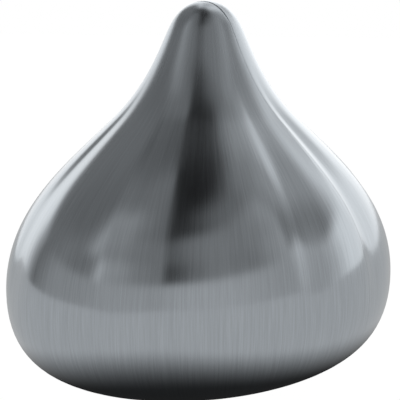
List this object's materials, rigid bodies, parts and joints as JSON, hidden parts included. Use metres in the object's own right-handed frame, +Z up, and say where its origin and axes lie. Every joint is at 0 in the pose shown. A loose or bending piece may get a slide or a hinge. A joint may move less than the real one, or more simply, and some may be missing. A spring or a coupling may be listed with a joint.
{
  "type": "garlic press",
  "caption": "Garlic press shaped like a garlic bulb: brushed steel half shells hinged at the foot, with a sieve basket in one and a pivoting plunger in the other.",
  "frame": {"origin": "under the middle of the closed bulb, on the surface it stands on", "axes": "+Z up through the tip, +X along the hinge pin, -Y through the front half"},
  "size_m": [0.0708, 0.0907, 0.0732],
  "materials": {
    "shell_steel": "fine upright hairline brushing, satin",
    "cast_steel": "bead blasted casting",
    "basket_steel": "pressed and lightly polished sheet",
    "bright_steel": "turned and polished",
    "nickel": "nickel plate",
    "nylon": "natural white nylon",
    "rubber": "matt grey black rubber"
  },
  "bodies": {
    "front_half": {"front_shell": "shell_steel", "front_frame": "cast_steel", "basket": "basket_steel", "sieve_plate": "basket_steel", "hinge_pin": "bright_steel", "hinge_pin_clip": "nickel", "hinge_washer_left": "nylon", "hinge_washer_right": "nylon", "front_magnet": "nickel", "front_pad": "rubber", "front_screw_1": "bright_steel", "front_screw_2": "bright_steel", "front_screw_3": "bright_steel", "front_screw_4": "bright_steel"},
    "rear_half": {"rear_shell": "shell_steel", "rear_frame": "cast_steel", "hinge_bush": "nylon", "rear_magnet": "nickel", "rear_pad": "rubber", "plunger_arm": "cast_steel", "plunger_pin": "bright_steel", "plunger_pin_clip": "nickel", "arm_screw_1": "bright_steel", "arm_screw_2": "bright_steel", "rear_screw_1": "bright_steel", "rear_screw_2": "bright_steel", "rear_screw_3": "bright_steel", "rear_screw_4": "bright_steel"},
    "plunger": {"plunger_foot": "cast_steel"}
  },
  "joints": [
    {"name": "opening", "type": "hinge", "parent": "front_half", "child": "rear_half", "pos_m": [0, -0.0015, 0.007], "axis": [-1, 0, 0], "range_deg": [0, 50]},
    {"name": "plunger_pivot", "type": "hinge", "parent": "rear_half", "child": "plunger", "pos_m": [0, -0.0095, 0.0325], "axis": [-1, 0, 0], "range_deg": [-50, 0]}
  ],
  "couplings": [
    {"joint": "plunger_pivot", "follows": "opening", "ratio": -1}
  ]
}
